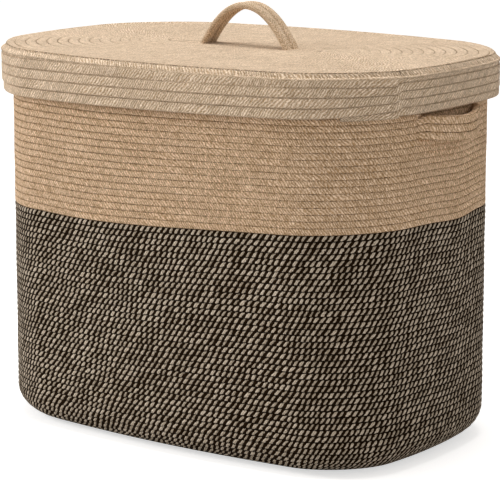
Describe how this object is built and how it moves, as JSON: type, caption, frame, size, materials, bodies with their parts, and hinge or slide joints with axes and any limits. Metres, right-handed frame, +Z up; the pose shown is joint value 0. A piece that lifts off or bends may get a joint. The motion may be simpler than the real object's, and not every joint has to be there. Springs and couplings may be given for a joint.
{
  "type": "lidded rope blanket basket",
  "caption": "Lidded blanket basket of coiled cotton rope, two-tone below and tan above, with hand holds at both ends and a lift-off lid with a strap handle.",
  "frame": {"origin": "centre of the basket's footprint, on the surface that it stands on", "axes": "+X along the length towards one hand hold, -Y towards the front, +Z up, the way the lid lifts"},
  "size_m": [0.5834, 0.396, 0.4822],
  "materials": {
    "two_tone_rope": "twisted cotton rope in tan and near-black, matt",
    "tan_rope": "braided cotton rope, tan, matt",
    "lid_rope": "thicker braided cotton rope, tan, matt",
    "handle_cord": "braided cotton cord, tan, matt"
  },
  "bodies": {
    "basket": {"base_coil": "two_tone_rope", "lower_wall_coil": "two_tone_rope", "upper_wall_coil": "tan_rope", "hand_hold_coil": "tan_rope", "rim_coil": "tan_rope"},
    "lid": {"lid_top_coil": "lid_rope", "lid_skirt_coil": "lid_rope", "lid_handle_front_cord": "handle_cord", "lid_handle_back_cord": "handle_cord"}
  },
  "joints": [
    {"name": "lid_lift", "type": "slide", "parent": "basket", "child": "lid", "axis": [0, 0, 1], "range_m": [0, 0.12]}
  ]
}
